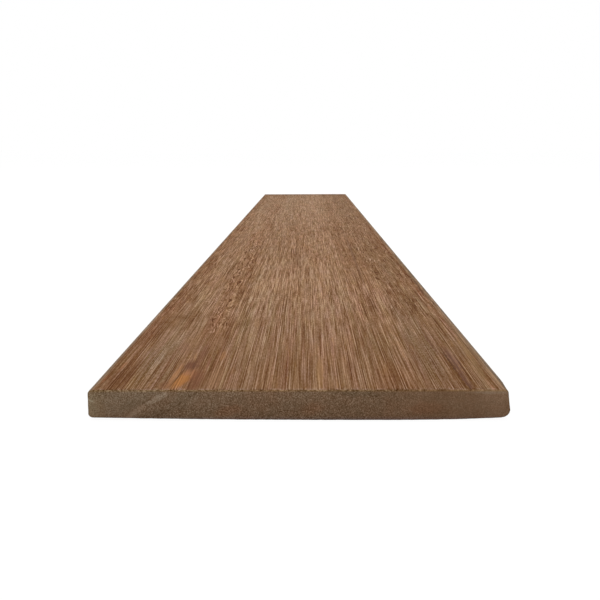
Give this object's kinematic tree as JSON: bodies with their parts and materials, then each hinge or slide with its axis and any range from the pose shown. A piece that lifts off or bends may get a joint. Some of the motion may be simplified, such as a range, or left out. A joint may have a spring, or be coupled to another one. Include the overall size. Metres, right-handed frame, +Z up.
{
  "type": "hardwood board",
  "caption": "Planed hardwood board with rounded long edges and square sawn ends, stock for shelving, cladding or joinery.",
  "frame": {"origin": "middle of the board's underside, on the floor that it lies on", "axes": "+Y along the board and its grain, with the sawn end that the picture shows at -Y; +X across its width, to the right as seen from that end; +Z up out of the show face"},
  "size_m": [0.28, 2.4, 0.021],
  "materials": {
    "hardwood": "matte"
  },
  "bodies": {
    "root": {"hardwood_board": "hardwood"}
  },
  "joints": []
}
